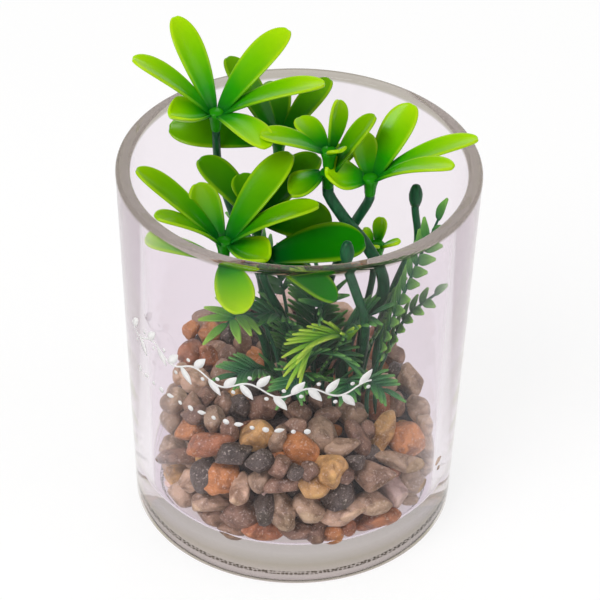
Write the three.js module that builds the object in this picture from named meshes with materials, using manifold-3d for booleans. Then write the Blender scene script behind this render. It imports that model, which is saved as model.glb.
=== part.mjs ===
// Glass pot with an artificial succulent: a clear tumbler, a plug of bonded gravel that lifts out,
// and plastic sprigs whose moulded leaf whorls are pressed onto barbed pegs.
// Millimetres, +Z up. The origin is the centre of the base, on the surface the pot stands on.

import * as THREE from 'three';
import { mergeVertices } from 'three/addons/utils/BufferGeometryUtils.js';
import Module from 'manifold-3d';

// Glass tumbler
const glassHeight = 90;
const mouthRadius = 40; // outside, at the rim
const footRadius = 37.2; // outside, at the base plane before the heel is rounded
const wall = 3.2;
const floorThickness = 9.5;
const heelRadius = 1;
const rimRadius = 0.9; // fire-polished edges of the rim
const innerCornerRadius = 2;
const bearingWidth = 3; // flat ring that the glass stands on
const pushUpDepth = 1.2; // shallow hollow under the base
const roundFacets = 48;

// Bonded gravel
const fit = 0.3; // clearance between pieces that are seated on each other
const gravelGap = 1.8; // clear space all round between the stones and the foot of the wall
const gravelShift = new THREE.Vector2(1, -1.2); // the plug stands off centre
const gravelHeight = 22; // at its shoulder, in the middle
const gravelTilt = 5; // the shoulder is this much higher on the left and lower on the right
const gravelCrown = 3; // rise from the shoulder to the middle
const stone = 8.8; // mean length of a stone
const socketDepth = 12; // how deep the stems stand in the gravel

// Stems, pegs and hubs
const stemRadius = 1.1;
const collarStep = 0.3; // the collar stands out this far from the stem
const collarHeight = 1;
const pegRadius = 0.6;
const barb = 0.15; // the peg's barb stands out this far
const barbHeight = 1.8;
const hubWall = 0.45; // at the hub's foot
const hubFlare = 0.9; // the hub widens by this much towards the leaves
const hubSleeve = 4; // hub below the leaves
const hubCap = 1.2; // hub above the leaves
const budRadius = 1.5; // bare end of a stem that carries no leaves
const budHeight = 5.5;

// Leaves
const leafThickness = 1;
const leafCup = 0.22; // how far the edges stand up, as a share of the half width
const leafRoot = 1.2; // distance of a leaf's root from the hub's axis
const wallClearance = 1.6; // between the longest low leaf and the glass
const leafletThickness = 0.7;
const ribRadius = 0.7;

const wasm = await Module();
wasm.setup();

const gravelFloor = floorThickness + fit;
const gravelRadius = footRadius - wall - gravelGap;
const gravelTop = gravelFloor + gravelHeight + gravelCrown;
const footLevel = gravelTop - socketDepth;
// The plant is set out for a mouth of 36.8, a glass of 90 and gravel of 32.2, and follows their sizes.
const plan = (mouthRadius - wall) / 36.8;
const tall = glassHeight / 90;
const bed = gravelRadius / 32.2;
const boreRadius = pegRadius + barb + fit;
const stack = hubSleeve + hubCap + fit; // from one hub to the next on the same peg

const glassMaterial = new THREE.MeshStandardMaterial({
  color: 0xe6e4ea, roughness: 0.05, metalness: 0, transparent: true, opacity: 0.35,
});
const stoneMaterial = new THREE.MeshStandardMaterial({ color: 0x9a7f68, roughness: 0.75, metalness: 0 });
const stemMaterial = new THREE.MeshStandardMaterial({ color: 0x24603f, roughness: 0.5, metalness: 0 });
const leafMaterial = new THREE.MeshStandardMaterial({ color: 0x66b40a, roughness: 0.4, metalness: 0 });
const shadeMaterial = new THREE.MeshStandardMaterial({ color: 0x2f8a1c, roughness: 0.45, metalness: 0 });
const fernMaterial = new THREE.MeshStandardMaterial({ color: 0x2c6f2a, roughness: 0.5, metalness: 0 });

const degrees = THREE.MathUtils.degToRad;

// A closed geometry becomes a solid that can be joined and cut.
function solid(geometry) {
  const bare = geometry.clone();
  bare.deleteAttribute('normal');
  bare.deleteAttribute('uv');
  const merged = mergeVertices(bare, 1e-4);
  const index = merged.index.array;
  const outward = [];
  const inward = [];
  for (let i = 0; i < index.length; i += 3) {
    const a = index[i];
    const b = index[i + 1];
    const c = index[i + 2];
    if (a === b || b === c || c === a) continue;
    outward.push(a, b, c);
    inward.push(a, c, b);
  }
  const make = (corners) => new wasm.Manifold(new wasm.Mesh({
    numProp: 3,
    vertProperties: Float32Array.from(merged.attributes.position.array),
    triVerts: Uint32Array.from(corners),
  }));
  const body = make(outward);
  return body.volume() > 0 ? body : make(inward);
}

function geometryOf(body) {
  const mesh = body.getMesh();
  const geometry = new THREE.BufferGeometry();
  geometry.setAttribute('position', new THREE.BufferAttribute(Float32Array.from(mesh.vertProperties), 3));
  geometry.setIndex(new THREE.BufferAttribute(Uint32Array.from(mesh.triVerts), 1));
  geometry.computeVertexNormals();
  return geometry;
}

function piece(name, body, material, at = new THREE.Vector3()) {
  const mesh = new THREE.Mesh(geometryOf(body), material);
  mesh.name = name;
  mesh.position.copy(at);
  return mesh;
}

// A profile of [radius, height] pairs turned about the Z axis.
function turned(profile, facets) {
  const points = profile.map(([radius, height]) => new THREE.Vector2(radius, height));
  return new THREE.LatheGeometry(points, facets).rotateX(Math.PI / 2);
}

function arc(centreRadius, centreHeight, radius, from, to, steps) {
  const points = [];
  for (let i = 0; i <= steps; i += 1) {
    const angle = degrees(from + ((to - from) * i) / steps);
    points.push([centreRadius + radius * Math.cos(angle), centreHeight + radius * Math.sin(angle)]);
  }
  return points;
}

// A fixed sequence between 0 and 1, so that the stones always fall the same way.
function chance(n) {
  const value = Math.sin(n * 12.9898) * 43758.5453;
  return value - Math.floor(value);
}

// Glass: tapered wall, flat rim with polished edges, thick floor, rounded heel, bearing ring and hollow underside.
function outerRadius(height) {
  return footRadius + ((mouthRadius - footRadius) * height) / glassHeight;
}

function tumbler() {
  const rim = rimRadius;
  const rimLevel = glassHeight - rim;
  const corner = innerCornerRadius;
  const cornerCentre = outerRadius(floorThickness + corner) - wall - corner;
  const bearingOuter = outerRadius(heelRadius) - heelRadius;
  const bearingInner = bearingOuter - bearingWidth;
  const profile = [
    [0, pushUpDepth],
    [bearingInner * 0.8, pushUpDepth * 0.9],
    [bearingInner, 0],
    ...arc(bearingOuter, heelRadius, heelRadius, -90, 0, 2),
    ...arc(outerRadius(rimLevel) - rim, rimLevel, rim, 0, 90, 2),
    ...arc(outerRadius(rimLevel) - wall + rim, rimLevel, rim, 90, 180, 2),
    ...arc(cornerCentre, floorThickness + corner, corner, 0, -90, 2),
    [0, floorThickness],
  ];
  return solid(turned(profile, roundFacets));
}

// Gravel: stones bonded over a core. The surface is crowned, and tilts down to the right.
function gravelSurface(x, y) {
  const reach = Math.min(1, Math.hypot(x, y) / gravelRadius);
  return gravelHeight + gravelCrown * (1 - reach * reach) - (gravelTilt * x) / gravelRadius;
}

function stoneAt(n, x, y, z) {
  const long = (stone / 2) * (0.9 + 0.22 * chance(n + 0.1));
  const body = new THREE.IcosahedronGeometry(1, 0);
  body.scale(long, long * (0.8 + 0.16 * chance(n + 0.2)), long * (0.68 + 0.2 * chance(n + 0.3)));
  body.rotateX(2 * Math.PI * chance(n + 0.4));
  body.rotateZ(2 * Math.PI * chance(n + 0.5));
  return solid(body.translate(x, y, z));
}

function gravelCore() {
  const edge = gravelRadius - stone * 0.5;
  const top = gravelHeight - stone * 0.42;
  const bottom = stone * 0.12;
  const profile = [[0, bottom], [edge, bottom], [edge, top], [edge * 0.66, top], [edge * 0.33, top], [0, top]];
  const body = turned(profile, 24);
  const place = body.attributes.position;
  for (let i = 0; i < place.count; i += 1) {
    if (place.getZ(i) < top - 0.01) continue;
    place.setZ(i, top + gravelSurface(place.getX(i), place.getY(i)) - gravelHeight);
  }
  return solid(body);
}

function gravel(sockets) {
  const stones = [];
  const half = stone / 2;
  let n = 1;
  const ring = (radius, turn, height) => {
    const count = Math.max(1, Math.round((2 * Math.PI * radius) / (stone * 1.35)));
    for (let i = 0; i < count; i += 1) {
      const angle = turn + (2 * Math.PI * (i + 0.3 * chance(n + 0.6))) / count;
      const reach = radius - 0.9 * chance(n + 0.7);
      const x = reach * Math.cos(angle);
      const y = reach * Math.sin(angle);
      const z = height(x, y) - 0.7 * chance(n + 0.8);
      if (z <= gravelSurface(x, y) - half * 0.7) stones.push(stoneAt(n, x, y, Math.max(z, half * 1.02)));
      n += 1;
    }
  };
  const side = gravelRadius - half * 0.85;
  const rows = Math.max(1, Math.round((gravelHeight - stone) / (stone * 0.8)));
  for (let row = 0; row < rows; row += 1) {
    const rise = half + (row * (gravelHeight - stone - gravelTilt)) / Math.max(1, rows - 1);
    ring(side, row * 0.13, () => rise);
  }
  const rings = Math.max(1, Math.round(side / (stone * 0.9)));
  for (let k = 0; k <= rings; k += 1) {
    ring((side * k) / rings, k * 0.4, (x, y) => gravelSurface(x, y) - half * 0.75);
  }
  let body = wasm.Manifold.union([gravelCore(), ...stones]);
  body = body.translate([gravelShift.x, gravelShift.y, gravelFloor]);
  return body.subtract(wasm.Manifold.union(sockets));
}

// A leaf drawn flat on a box, then given its outline, arch, cup and thin edges.
// turn and rise are the direction of root to tip in degrees, bend is the arch, roll turns it on its length,
// and a leaf with a deep cup is a scoop.
function outline(share) {
  const widest = 0.68;
  if (share < widest) return 0.3 + 0.7 * Math.sin((Math.PI / 2) * (share / widest));
  const s = (share - widest) / 0.34;
  return Math.sqrt(1 - s * s);
}

function blade(length, width, thickness, bend, cup, steps, across) {
  const box = new THREE.BoxGeometry(1, 1, 1, steps, across, 1);
  const place = box.attributes.position;
  const half = degrees(bend === 0 ? 0.01 : bend);
  const bow = length / (2 * Math.sin(half));
  for (let i = 0; i < place.count; i += 1) {
    const along = 1 - (1 - (place.getX(i) + 0.5)) ** 1.4;
    const side = 2 * place.getY(i);
    const reach = (width / 2) * outline(along);
    const slope = half * (1 - 2 * along);
    const lift = cup * reach * side * side + thickness * place.getZ(i) * (1 - side * side);
    place.setXYZ(
      i,
      bow * (Math.sin(half) - Math.sin(slope)) - lift * Math.sin(slope),
      side * reach,
      bow * (Math.cos(slope) - Math.cos(half)) + lift * Math.cos(slope),
    );
  }
  return box;
}

function aimed(body, forward, up, root) {
  const side = new THREE.Vector3().crossVectors(up, forward).normalize();
  const above = new THREE.Vector3().crossVectors(forward, side);
  return body.applyMatrix4(new THREE.Matrix4().makeBasis(forward, side, above).setPosition(root));
}

function heading(turn, rise) {
  const flat = Math.cos(degrees(rise));
  return new THREE.Vector3(
    flat * Math.cos(degrees(turn)),
    flat * Math.sin(degrees(turn)),
    Math.sin(degrees(rise)),
  );
}

function leaf([turn, rise, length, width, bend = 12, roll = 0, cup = leafCup]) {
  const body = blade(length * plan - leafRoot, width * plan, leafThickness, bend, cup, 5, 2);
  body.rotateX(degrees(roll));
  const root = heading(turn, 0).multiplyScalar(leafRoot);
  return solid(aimed(body, heading(turn, rise), new THREE.Vector3(0, 0, 1), root));
}

// Peg at a stem's top: a collar, then a plain peg with a barb at its end, hidden in the hub.
// Height 0 is where the leaves of the uppermost hub spring from.
function peg(hubs) {
  const seat = -(hubs - 1) * stack - hubSleeve - fit;
  const end = -fit;
  return solid(turned([
    [0, seat - collarHeight],
    [stemRadius + collarStep, seat - collarHeight],
    [stemRadius + collarStep, seat],
    [pegRadius, seat],
    [pegRadius, end - barbHeight],
    [pegRadius + barb, end - barbHeight],
    [pegRadius * 0.7, end],
    [0, end],
  ], 6));
}

// Bare bud at the end of a stem.
function bud() {
  const half = budHeight / 2;
  return solid(turned([
    [0, -half],
    [stemRadius, -half],
    [budRadius, -half * 0.5],
    [budRadius * 0.9, half * 0.3],
    [budRadius * 0.5, half * 0.85],
    [0, half],
  ], 8));
}

// A whorl: leaves moulded round a flared hub, bored for the peg it is pressed on.
// The uppermost hub on a peg is closed at the top, and the others are bored through.
function whorl(level, leaves) {
  const hub = solid(turned([
    [0, -hubSleeve],
    [boreRadius + hubWall, -hubSleeve],
    [boreRadius + hubWall + hubFlare, 0],
    [boreRadius, hubCap],
    [0, hubCap],
  ], 8));
  const depth = level === 0 ? 0 : hubCap + 1;
  const bore = solid(turned([[0, -hubSleeve - 1], [boreRadius, -hubSleeve - 1], [boreRadius, depth], [0, depth]], 6));
  return wasm.Manifold.union([hub, ...leaves.map(leaf)]).subtract(bore);
}

function tube(points, radius, sides, steps) {
  const curve = new THREE.CatmullRomCurve3(points, false, 'centripetal');
  const section = new THREE.Shape().absarc(0, 0, radius, 0, 2 * Math.PI, false);
  const body = new THREE.ExtrudeGeometry(section, {
    extrudePath: curve, steps, curveSegments: sides / 2, bevelEnabled: false,
  });
  return solid(body);
}

// A stem from the gravel to its peg or bud.
// Each bend is [x, y, share of the way up from the gravel to the end].
function stem(foot, top, bends, hubs) {
  const drop = hubs > 0 ? (hubs - 1) * stack + hubSleeve + fit + collarHeight / 2 : budHeight / 2 - 0.5;
  const end = top.z - drop;
  const level = (share) => gravelTop + (end - gravelTop) * share;
  const path = [
    new THREE.Vector3(foot.x, foot.y, footLevel),
    new THREE.Vector3(foot.x, foot.y, gravelTop - 3),
    new THREE.Vector3(foot.x, foot.y, gravelTop + 2),
    ...bends.map(([x, y, share]) => new THREE.Vector3(x * plan, y * plan, level(share))),
    new THREE.Vector3(top.x, top.y, end - 4),
    new THREE.Vector3(top.x, top.y, end),
  ];
  const head = hubs > 0 ? peg(hubs) : bud();
  return tube(path, stemRadius, 6, 9).add(head.translate([top.x, top.y, top.z]));
}

// A frond: a rib with leaflets in pairs, and one at its tip. The pairs close up by the share fan.
// Leaflets that would touch a piece already in place are pinched off.
// Each point is [x, y, share of the way up from the gravel to the rim].
function frond(foot, points, { pairs, from, length, width, angle, taper, fan = 0 }, placed) {
  const path = [
    new THREE.Vector3(foot.x, foot.y, footLevel),
    new THREE.Vector3(foot.x, foot.y, gravelTop - 3),
    new THREE.Vector3(foot.x, foot.y, gravelTop + 2),
    ...points.map(([x, y, share]) => (
      new THREE.Vector3(x * plan, y * plan, gravelTop + (glassHeight - gravelTop) * share)
    )),
  ];
  const curve = new THREE.CatmullRomCurve3(path, false, 'centripetal');
  const steps = 8;
  const stations = curve.getSpacedPoints(steps);
  const parts = [tube(path, ribRadius, 4, steps)];
  const onRib = (share) => {
    const k = Math.min(steps - 1, Math.floor(share * steps));
    return stations[k].clone().lerp(stations[k + 1], share * steps - k);
  };
  const needle = (size, margin) => (
    new THREE.OctahedronGeometry(1, 0)
      .scale(size / 2 + margin, (width * plan) / 2 + margin, leafletThickness / 2 + margin)
      .translate(size / 2, 0, 0)
  );
  const add = (share, side) => {
    const forward = curve.getTangentAt(share);
    const across = new THREE.Vector3(0, 0, 1).cross(forward).normalize();
    const up = new THREE.Vector3().crossVectors(forward, across);
    const onward = (share - from) / (1 - from);
    const spread = degrees(angle) * side * (1 - fan * onward);
    const aim = forward.clone().multiplyScalar(Math.cos(spread)).addScaledVector(across, Math.sin(spread));
    const size = length * plan * (1 - taper * onward);
    const aimAt = (margin) => solid(aimed(needle(size, margin), aim.normalize(), up, onRib(share)));
    const room = aimAt(fit);
    if (placed.every((other) => other.intersect(room).isEmpty())) parts.push(aimAt(0));
  };
  const pitch = (0.97 - from) / pairs;
  for (let i = 0; i < pairs; i += 1) {
    add(from + i * pitch, 1);
    add(from + (i + 0.4) * pitch, -1);
  }
  add(0.98, 0);
  return wasm.Manifold.union(parts);
}

// Set-out of the plant. Feet stand in the gravel, and tops are measured from the rim of the glass.
const foot = (x, y) => new THREE.Vector2(x * bed, y * bed);
const top = (x, y, aboveRim) => new THREE.Vector3(x * plan, y * plan, glassHeight + aboveRim * tall);

function wallReach(centre, turn) {
  const way = heading(turn, 0);
  const level = outerRadius(centre.z) - wall - wallClearance;
  const along = centre.x * way.x + centre.y * way.y;
  const reach = -along + Math.sqrt(along * along + level * level - centre.x ** 2 - centre.y ** 2);
  return reach / plan;
}

const leftTop = top(-18.4, 7, 8);
const frontTop = top(-16, -11, -13.5);
const backTop = top(-4.7, 13, -2.5);
const middleTop = top(-9, -2.5, -13);
const rightTop = top(15.5, -3, -1.5);
const centreTop = top(6.3, -3, 5.3);
const lowTop = top(-7.5, -12.5, -16.5);
const clusterTop = top(17.8, 3.6, -24);
const budRightTop = top(25.7, 1, -8);
const budCentreTop = top(10.6, -19.5, -9);

const below = (at) => at.clone().add(new THREE.Vector3(0, 0, -stack));

// Name, foot, top, bends and number of whorls on the peg.
const stems = [
  ['stem_left', foot(-4, 5), leftTop, [[-10, 8, 0.35], [-17.5, 9.5, 0.75]], 1],
  ['stem_front', foot(-6, -6), frontTop, [[-8, -5, 0.35], [-15, -9.5, 0.7]], 2],
  ['stem_back', foot(1, 8), backTop, [[0, 10, 0.4], [-4, 13, 0.75]], 1],
  ['stem_middle', foot(-5.5, -1), middleTop, [[-7, -1.5, 0.4], [-8.8, -2.5, 0.75]], 1],
  ['stem_right', foot(5, 4), rightTop, [[7, 2.8, 0.35], [9.5, 0.8, 0.6], [12.2, -1.2, 0.8]], 1],
  ['stem_centre', foot(11, -3.5), centreTop, [[14, -4, 0.3], [19, -5.8, 0.44], [19.4, -6.6, 0.56], [15, -6, 0.745], [10.4, -4.6, 0.85]], 2],
  ['stem_low', foot(-1, -6), lowTop, [[-2, -6, 0.4], [-6, -9.5, 0.75]], 1],
  ['stem_cluster', foot(15, 2), clusterTop, [[16, 3, 0.4], [17.6, 3.5, 0.75]], 1],
  ['stem_bud_right', foot(19, 1), budRightTop, [[22, 1.5, 0.4], [26.6, 1, 0.75]], 0],
  ['stem_bud_centre', foot(14.2, -8.5), budCentreTop, [[15.4, -10.5, 0.3], [15, -15, 0.56], [12.6, -18.5, 0.8]], 0],
];

// Leaves of each whorl: turn, rise, length, width, bend, roll.
const whorls = [
  ['whorl_left', leftTop, 0, [
    [0, 20, 25, 6.5, 14], [38, 38, 24.5, 8, 10], [125, 46, 23.5, 7, 8],
    [178, 38, 22.5, 7, 12], [196, 6, 10.5, 9, -18, 0, 0.55], [312, 0, 17.5, 7, 18],
  ]],
  ['whorl_front', frontTop, 0, [
    [0, 28, 23, 6, 16], [40, 42, 24.5, 7.5, 10], [130, 50, 14, 7, -12],
    [170, 42, 25.5, 6.5, 10], [210, 38, 20.5, 6.5, 14], [332, -4, 11, 9, -25, 0, 0.5],
  ]],
  ['whorl_front_lower', below(frontTop), 1, [
    [164, 4, wallReach(below(frontTop), 164), 7, 8], [284, -4, 17, 8.5, 14],
  ]],
  ['whorl_right', rightTop, 0, [
    [5, 24, 25, 6.5, 14], [48, 47, 19, 8, 10], [110, 55, 11, 6, 4],
    [222, 18, 10, 8, -28, 0, 0.55], [336, 26, 21, 6.5, 18],
  ]],
  ['whorl_centre', centreTop, 0, [
    [73, 60, 12, 5, 5, 75], [130, 34, 11, 6, 10], [180, 20, 15.5, 6.5, 14], [300, 40, 6, 4.5, 10],
  ]],
  ['whorl_centre_lower', below(centreTop), 1, [
    [195, -8, 9.5, 7.5, 15], [60, 15, 9, 6, 10], [18, 55, 17, 6.5, 10],
  ]],
  ['whorl_back', backTop, 0, [
    [35, 42, 18, 7, 10], [140, 46, 22, 7.5, 10], [180, 6, 24.5, 8, 12, -40], [95, 15, 18, 7, 16],
  ]],
  ['whorl_middle', middleTop, 0, [
    [152, 38, 18.5, 7.5, 12], [32, 36, 18, 8, 12], [120, 45, 11, 6, 10], [345, 30, 9.5, 5, 10],
  ]],
  ['whorl_low', lowTop, 0, [
    [2, 12, 25, 9.5, 26], [325, -9, 19.5, 7.5, 14],
  ]],
  ['whorl_cluster', clusterTop, 0, [
    [80, 55, 7, 3.2, 8], [160, 60, 5.5, 3.2, 8], [250, 40, 6, 3.2, 8], [330, 35, 6.5, 3.2, 8],
  ]],
];

// Name, foot, way of the rib, and form.
const fronds = [
  ['fern_left', foot(-3, -12), [[-4, -13, 0.2], [-7.5, -14.5, 0.4], [-12.5, -16.5, 0.47], [-15.5, -19.5, 0.46]],
    { pairs: 3, from: 0.91, length: 8, width: 2.4, angle: 95, taper: 0.1, fan: 0.85 }],
  ['fern_bright', foot(8.5, -6.5), [[10.5, -9, 0.16], [10.5, -13.5, 0.33], [4.5, -17.5, 0.36], [1.5, -20, 0.29]],
    { pairs: 6, from: 0.63, length: 9.5, width: 1.4, angle: 22, taper: 0.2 }],
  ['fern_low', foot(9, -11.5), [[11, -13.5, 0.08], [12, -17.5, 0.16], [11, -22, 0.17]],
    { pairs: 6, from: 0.55, length: 7.5, width: 1.6, angle: 35, taper: 0.3 }],
  ['fern_right', foot(16, -5), [[18, -6, 0.22], [21, -6.2, 0.38], [23.5, -6.6, 0.48]],
    { pairs: 5, from: 0.5, length: 5.5, width: 1.8, angle: 42, taper: 0.3 }],
  ['fern_centre', foot(4, -2), [[4.5, -3.5, 0.2], [3.8, -5.5, 0.38], [2.5, -8, 0.52]],
    { pairs: 6, from: 0.4, length: 6.5, width: 1.6, angle: 45, taper: 0.2 }],
  ['fern_shade', foot(0.5, -11), [[1.5, -12.5, 0.14], [4.5, -13.5, 0.24], [9, -14, 0.25], [12.5, -14, 0.2]],
    { pairs: 6, from: 0.5, length: 8, width: 1.5, angle: 24, taper: 0.2 }],
  ['fern_back', foot(-2, 11), [[-4, 14, 0.2], [-9, 18, 0.36], [-14, 22, 0.42]],
    { pairs: 5, from: 0.5, length: 8, width: 2.4, angle: 50, taper: 0.4 }],
  ['sprig_right', foot(16.5, -13), [[18.5, -13.4, 0.2], [22, -13.6, 0.46], [26, -13, 0.68], [30.5, -10.5, 0.9]],
    { pairs: 7, from: 0.42, length: 6.8, width: 2.6, angle: 50, taper: 0.2 }],
  ['fern_dark_left', foot(0.5, -3), [[0, -7, 0.22], [-4, -10, 0.38], [-10, -11.5, 0.4]],
    { pairs: 6, from: 0.45, length: 7.5, width: 1.6, angle: 42, taper: 0.2 }],
  ['fern_dark_right', foot(6.5, -9), [[9, -10, 0.2], [13, -11, 0.36], [17.5, -11.5, 0.42]],
    { pairs: 6, from: 0.45, length: 7.5, width: 1.6, angle: 42, taper: 0.2 }],
  ['fern_dark_middle', foot(4.5, -6.5), [[5, -9.5, 0.25], [6, -10, 0.45], [4.5, -11, 0.6]],
    { pairs: 6, from: 0.4, length: 8, width: 1.6, angle: 48, taper: 0.2 }],
  ['fern_low_left', foot(-3.4, -8.8), [[-5.2, -10.8, 0.07], [-8.5, -13.5, 0.15], [-13.5, -16, 0.16]],
    { pairs: 6, from: 0.45, length: 8, width: 1.6, angle: 45, taper: 0.2 }],
  ['fern_low_middle', foot(3.4, -9.8), [[3.2, -12.5, 0.09], [1.5, -16, 0.17], [-1, -20, 0.15]],
    { pairs: 6, from: 0.45, length: 8, width: 1.6, angle: 45, taper: 0.2 }],
  ['fern_low_right', foot(12.9, -12.5), [[14.2, -14, 0.08], [16.5, -16.5, 0.15], [20, -18.5, 0.14]],
    { pairs: 6, from: 0.45, length: 7, width: 1.6, angle: 45, taper: 0.2 }],
  ['twig_right', foot(18.5, -10), [[20, -12, 0.2], [24.5, -12.5, 0.42], [31, -12.5, 0.55]],
    { pairs: 5, from: 0.5, length: 5, width: 2.3, angle: 55, taper: 0.2 }],
];

function socket(at, radius) {
  const bottom = footLevel - fit;
  const body = turned([[0, bottom], [radius + fit, bottom], [radius + fit, gravelTop + stone], [0, gravelTop + stone]], 6);
  return solid(body).translate([at.x, at.y, 0]);
}

const sockets = [
  ...stems.map(([, at]) => socket(at, stemRadius)),
  ...fronds.map(([, at]) => socket(at, ribRadius)),
];

const shaded = ['whorl_back', 'whorl_middle', 'whorl_low', 'whorl_centre_lower'];

const insert = new THREE.Group();
const placed = [];
const place = (name, body, material, at = new THREE.Vector3()) => {
  placed.push(body.translate([at.x, at.y, at.z]));
  insert.add(piece(name, body, material, at));
};
place('bonded_gravel', gravel(sockets), stoneMaterial);
for (const [name, at, end, bends, hubs] of stems) {
  place(name, stem(at, end, bends, hubs), stemMaterial);
}
for (const [name, at, level, leaves] of whorls) {
  place(name, whorl(level, leaves), shaded.includes(name) ? shadeMaterial : leafMaterial, at);
}
for (const [name, at, points, form] of fronds) {
  place(name, frond(at, points, form, placed), fernMaterial);
}

const pot = new THREE.Group();
pot.add(piece('glass_tumbler', tumbler(), glassMaterial));
pot.add(insert);

export default pot;
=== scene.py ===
# %% [markdown]
# # Glass pot with an artificial succulent
# A clear tumbler holds a plug of bonded river pebbles. Moulded plastic sprigs stand in the plug:
# bent stems with rosettes of thick spatulate leaves, and small ferns between them.
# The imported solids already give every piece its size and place, so this lesson only makes the fine
# surfaces and the finishes. Lengths are written in millimetres, and MM turns them into metres.

import math

import bmesh
import bpy
from mathutils import Matrix, Vector, noise


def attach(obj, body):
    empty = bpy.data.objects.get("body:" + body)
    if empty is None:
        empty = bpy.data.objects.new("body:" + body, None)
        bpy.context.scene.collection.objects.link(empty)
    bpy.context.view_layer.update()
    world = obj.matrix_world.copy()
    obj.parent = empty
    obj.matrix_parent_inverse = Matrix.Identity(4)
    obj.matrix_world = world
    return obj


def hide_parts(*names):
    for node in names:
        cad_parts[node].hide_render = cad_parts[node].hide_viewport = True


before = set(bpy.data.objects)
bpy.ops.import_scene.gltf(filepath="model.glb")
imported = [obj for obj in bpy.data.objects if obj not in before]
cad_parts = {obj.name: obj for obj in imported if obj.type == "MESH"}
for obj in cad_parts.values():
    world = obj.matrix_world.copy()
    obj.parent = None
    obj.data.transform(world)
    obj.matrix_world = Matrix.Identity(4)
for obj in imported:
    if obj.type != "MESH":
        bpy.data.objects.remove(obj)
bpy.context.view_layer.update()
MM = 0.001
MERGE = 0.001 * MM  # points closer than this become one

# %% [markdown]
# ## Small helpers
# Every finish needs colours and nodes. Colours are picked as sRGB hex values, as a paint card gives
# them, and Blender's shaders want linear light, so one function converts them. One function adds a
# node with its settings and links, and short ones call it for the nodes that most finishes use. A
# pattern's scale is one over its size, because Object coordinates are in metres.

# %% Colours, nodes and pattern sizes
FACTOR, MIX_A, MIX_B, MIX_RESULT = 0, 6, 7, 2  # sockets of a colour Mix node


def linear(code):
    values = [int(code[i:i + 2], 16) / 255 for i in (0, 2, 4)]
    return [v / 12.92 if v <= 0.04045 else ((v + 0.055) / 1.055) ** 2.4 for v in values] + [1.0]


def per_mm(size):
    return 1 / (size * MM)


def add(tree, kind, inputs=None, **settings):
    made = tree.nodes.new(kind)
    for key, value in settings.items():
        setattr(made, key, value)
    for key, value in (inputs or {}).items():
        if isinstance(value, bpy.types.NodeSocket):
            tree.links.new(value, made.inputs[key])
        else:
            made.inputs[key].default_value = value
    return made


def place_on(tree):
    return add(tree, "ShaderNodeTexCoord").outputs["Object"]


def attribute(tree, name, output="Fac"):
    return add(tree, "ShaderNodeAttribute", attribute_name=name).outputs[output]


def calc(tree, operation, *values, **settings):
    return add(tree, "ShaderNodeMath", dict(enumerate(values)), operation=operation, **settings).outputs[0]


def product(tree, value, *others):
    for other in others:
        value = calc(tree, "MULTIPLY", value, other)
    return value


def ramp(tree, value, *stops):
    made = add(tree, "ShaderNodeValToRGB", {"Fac": value})
    elements = made.color_ramp.elements
    for i, (place, code) in enumerate(stops):
        element = elements[i] if i < 2 else elements.new(place)
        element.position = place
        element.color = linear(code)
    return made.outputs["Color"]


def mix(tree, factor, first, second, **settings):
    return add(tree, "ShaderNodeMix", {FACTOR: factor, MIX_A: first, MIX_B: second}, data_type="RGBA",
               **settings).outputs[MIX_RESULT]


def mix_shaders(tree, factor, first, second):
    return add(tree, "ShaderNodeMixShader", {0: factor, 1: first.outputs[0], 2: second.outputs[0]})


def grain(tree, spot, size, detail, distortion=0.0):
    return add(tree, "ShaderNodeTexNoise", {"Vector": spot, "Scale": per_mm(size), "Detail": detail,
                                            "Distortion": distortion}).outputs["Fac"]


def spread(tree, value, start, end, low=0.0, high=1.0, **settings):
    return add(tree, "ShaderNodeMapRange", {"Value": value, "From Min": start, "From Max": end,
                                            "To Min": low, "To Max": high}, **settings).outputs[0]


def bump(tree, height, strength, depth):
    return add(tree, "ShaderNodeBump", {"Height": height, "Strength": strength,
                                        "Distance": depth * MM}).outputs[0]


def finish_named(name):
    made = bpy.data.materials.new(name)
    made.use_nodes = True
    made.node_tree.nodes.clear()
    return made, made.node_tree


def coat(tree, colour, roughness, **more):
    inputs = {key.replace("_", " "): value for key, value in more.items()}
    shader = add(tree, "ShaderNodeBsdfPrincipled",
                 {"Base Color": colour, "Roughness": roughness, "IOR": 1.5, **inputs})
    add(tree, "ShaderNodeOutputMaterial", {"Surface": shader.outputs[0]})


print("linear mid grey", round(linear("808080")[0], 3))

# %% [markdown]
# A piece is a bmesh until it is finished. Then it becomes an object at the origin, takes its
# finish, rides on a body of the frame and stands for the solids that it replaces. A fixed sequence
# of numbers between 0 and 1 stands in for chance, so that every run gives the same pot.

# %% From bmesh to piece
def chance(n):
    value = math.sin(n * 12.9898) * 43758.5453
    return value - math.floor(value)


def piece(name, bm, finish, body, stands_for=(), levels=0):
    mesh = bpy.data.meshes.new(name)
    bm.to_mesh(mesh)
    bm.free()
    mesh.shade_smooth()
    mesh.materials.append(finish)
    made = bpy.data.objects.new(name, mesh)
    bpy.context.scene.collection.objects.link(made)
    if levels:
        rounding = made.modifiers.new("rounding", "SUBSURF")
        rounding.levels = levels
        rounding.render_levels = levels
    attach(made, body)
    if stands_for:
        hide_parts(*stands_for)
    print(name, len(mesh.polygons), "faces before rounding")


print("chance", [round(chance(n), 2) for n in range(1, 5)])

# %% [markdown]
# ## The camera and the light
# The photograph looks down on the pot at 37 degrees through a long lens, on a white ground. The
# camera is placed by its three axes, because it is also turned a little about its line of sight.
# Three soft boxes and a pale sky light the pot. The sky and the floor are plain white to the camera
# and through the glass. In reflections the sky is dark but for its far part, as a studio is, so that
# the leaves keep their deep green and only the soft boxes draw highlights on them.

# %% Camera
ELEVATION = math.radians(37)
ROLL = math.radians(1.28)
AIM = Vector((0.79, 0, 53)) * MM
DISTANCE = 570 * MM

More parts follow.
